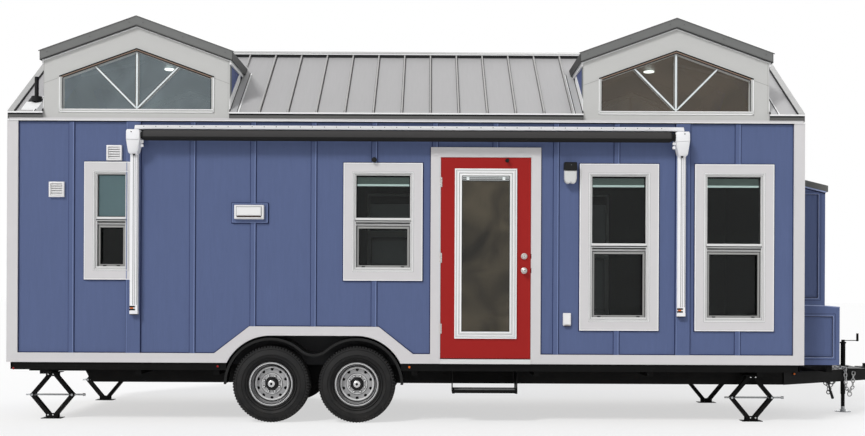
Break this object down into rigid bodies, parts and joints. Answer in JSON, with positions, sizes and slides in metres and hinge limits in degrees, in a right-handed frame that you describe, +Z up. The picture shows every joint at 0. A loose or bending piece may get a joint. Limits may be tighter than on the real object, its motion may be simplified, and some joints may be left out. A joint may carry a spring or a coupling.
{
  "type": "tiny house on wheels",
  "caption": "Tiny house on a tandem-axle trailer: board siding, two cross-gable dormers, metal roof, half-glass door, rolled-up awning, tongue cabinets and jacks",
  "frame": {"origin": "centre of the base at ground level, below the middle of the whole object's box", "axes": "+X towards the tongue and coupler, -Y towards the side with the entry door, +Z up"},
  "size_m": [9.405, 2.743, 4.116],
  "materials": {
    "frame_black": "satin",
    "zinc_steel": "satin",
    "tyre_rubber": "matte",
    "silver_wheel": "satin",
    "marker_lens": "gloss",
    "floor_wood": "satin",
    "well_metal": "satin",
    "blue_siding": "satin",
    "white_panel": "satin",
    "grey_trim": "satin",
    "roof_metal": "satin",
    "dark_roof_trim": "satin",
    "white_vinyl": "satin",
    "window_glass": "gloss",
    "red_door": "satin",
    "dark_hardware": "satin",
    "white_metal": "satin",
    "awning_fabric": "matte",
    "vent_black": "matte"
  },
  "bodies": {
    "house": {"main_rails": "frame_black", "cross_members": "frame_black", "deck_channel": "frame_black", "tongue_frame": "frame_black", "hitch_coupler": "frame_black", "tongue_jack_post": "frame_black", "axles": "frame_black", "jack_plates": "frame_black", "jack_arms": "frame_black", "step_runners": "frame_black", "fenders": "frame_black", "safety_chains": "zinc_steel", "jack_screws": "zinc_steel", "marker_lights": "marker_lens", "floor": "floor_wood", "wheel_wells": "well_metal", "near_wall_rear": "blue_siding", "near_wall_over_door": "blue_siding", "near_wall_front": "blue_siding", "far_wall": "blue_siding", "rear_wall": "blue_siding", "front_wall": "blue_siding", "dormer_cheeks": "blue_siding", "mounting_boards": "blue_siding", "tongue_cabinets": "blue_siding", "dormer_walls": "white_panel", "corner_boards": "grey_trim", "band_boards": "grey_trim", "opening_trim": "grey_trim", "main_roof": "roof_metal", "dormer_roofs": "roof_metal", "roof_flashing": "roof_metal", "roof_seams": "roof_metal", "roof_edge_trim": "dark_roof_trim", "cabinet_lids": "dark_roof_trim", "window_frames": "white_vinyl", "door_frame": "white_vinyl", "wall_vents": "white_vinyl", "porch_light": "white_vinyl", "window_glass": "window_glass", "awning_frame": "white_metal", "awning_roll": "awning_fabric", "roof_vent": "vent_black"},
    "front_door": {"door_leaf": "red_door", "door_lite": "white_vinyl", "door_glass": "window_glass", "door_hardware": "dark_hardware"},
    "wheel_near_rear": {"tyre_near_rear": "tyre_rubber", "rim_near_rear": "silver_wheel"},
    "wheel_near_front": {"tyre_near_front": "tyre_rubber", "rim_near_front": "silver_wheel"},
    "wheel_far_rear": {"tyre_far_rear": "tyre_rubber", "rim_far_rear": "silver_wheel"},
    "wheel_far_front": {"tyre_far_front": "tyre_rubber", "rim_far_front": "silver_wheel"},
    "step_body": {"entry_step": "frame_black"},
    "jack_leg_body": {"tongue_jack_leg": "zinc_steel"},
    "jack_crank_body": {"tongue_jack_crank": "zinc_steel"}
  },
  "joints": [
    {"name": "front_door_hinge", "type": "hinge", "parent": "house", "child": "front_door", "pos_m": [-0.319, -1.2325, 1.679], "axis": [0, 0, -1], "range_deg": [0, 170]},
    {"name": "wheel_near_rear_spin", "type": "hinge", "parent": "house", "child": "wheel_near_rear", "pos_m": [-2.034, -1.076, 0.391], "axis": [0, 1, 0], "continuous": true},
    {"name": "wheel_near_front_spin", "type": "hinge", "parent": "house", "child": "wheel_near_front", "pos_m": [-1.163, -1.076, 0.391], "axis": [0, 1, 0], "continuous": true},
    {"name": "wheel_far_rear_spin", "type": "hinge", "parent": "house", "child": "wheel_far_rear", "pos_m": [-2.034, 1.213, 0.391], "axis": [0, 1, 0], "continuous": true},
    {"name": "wheel_far_front_spin", "type": "hinge", "parent": "house", "child": "wheel_far_front", "pos_m": [-1.163, 1.213, 0.391], "axis": [0, 1, 0], "continuous": true},
    {"name": "entry_step_slide", "type": "slide", "parent": "house", "child": "step_body", "axis": [0, -1, 0], "range_m": [0, 0.26]},
    {"name": "tongue_jack_lift", "type": "slide", "parent": "house", "child": "jack_leg_body", "axis": [0, 0, 1], "range_m": [0, 0.16]},
    {"name": "tongue_jack_turn", "type": "hinge", "parent": "house", "child": "jack_crank_body", "pos_m": [4.245, 0.0685, 0.79], "axis": [0, 0, 1], "continuous": true}
  ]
}
